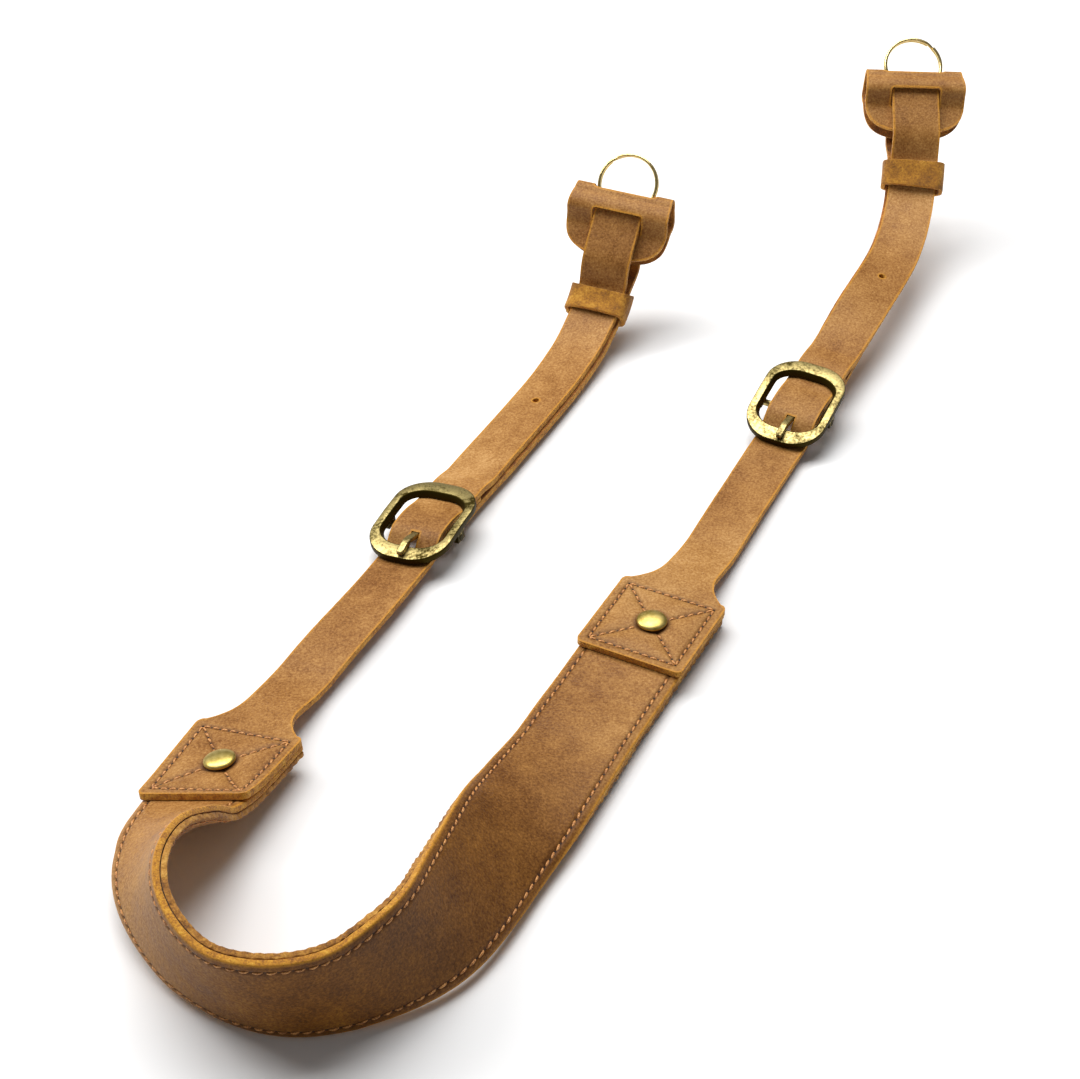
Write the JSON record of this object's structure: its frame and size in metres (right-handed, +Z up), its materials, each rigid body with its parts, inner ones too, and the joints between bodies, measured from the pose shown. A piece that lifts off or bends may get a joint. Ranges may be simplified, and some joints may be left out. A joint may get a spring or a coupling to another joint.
{
  "type": "camera neck strap",
  "caption": "Tan leather camera neck strap lying in a loop: wide lined pad, riveted patches, buckled straps, keepers, ring guards and split rings.",
  "frame": {"origin": "centre of the bounding box at its bottom, on the surface that the strap lies on", "axes": "+Z up from the surface, +Y from the turn of the pad towards the split rings, +X towards the right strap"},
  "size_m": [0.3164, 0.4978, 0.0773],
  "materials": {
    "oiled_leather": "waxed pull-up grain, satin",
    "rough_leather": "suede, matt",
    "antique_brass": "antique patina, satin",
    "rivet_brass": "plain, satin",
    "gold_plate": "pale gold plated, polished"
  },
  "bodies": {
    "root": {"pad_top_leather": "oiled_leather", "pad_lining": "rough_leather", "left_strap": "oiled_leather", "right_strap": "oiled_leather", "left_rivet": "rivet_brass", "right_rivet": "rivet_brass", "left_buckle_frame": "antique_brass", "right_buckle_frame": "antique_brass", "left_buckle_prong": "antique_brass", "right_buckle_prong": "antique_brass", "left_keeper": "rough_leather", "right_keeper": "rough_leather", "left_ring_guard": "oiled_leather", "right_ring_guard": "oiled_leather", "left_split_ring": "gold_plate", "right_split_ring": "gold_plate"}
  },
  "joints": []
}
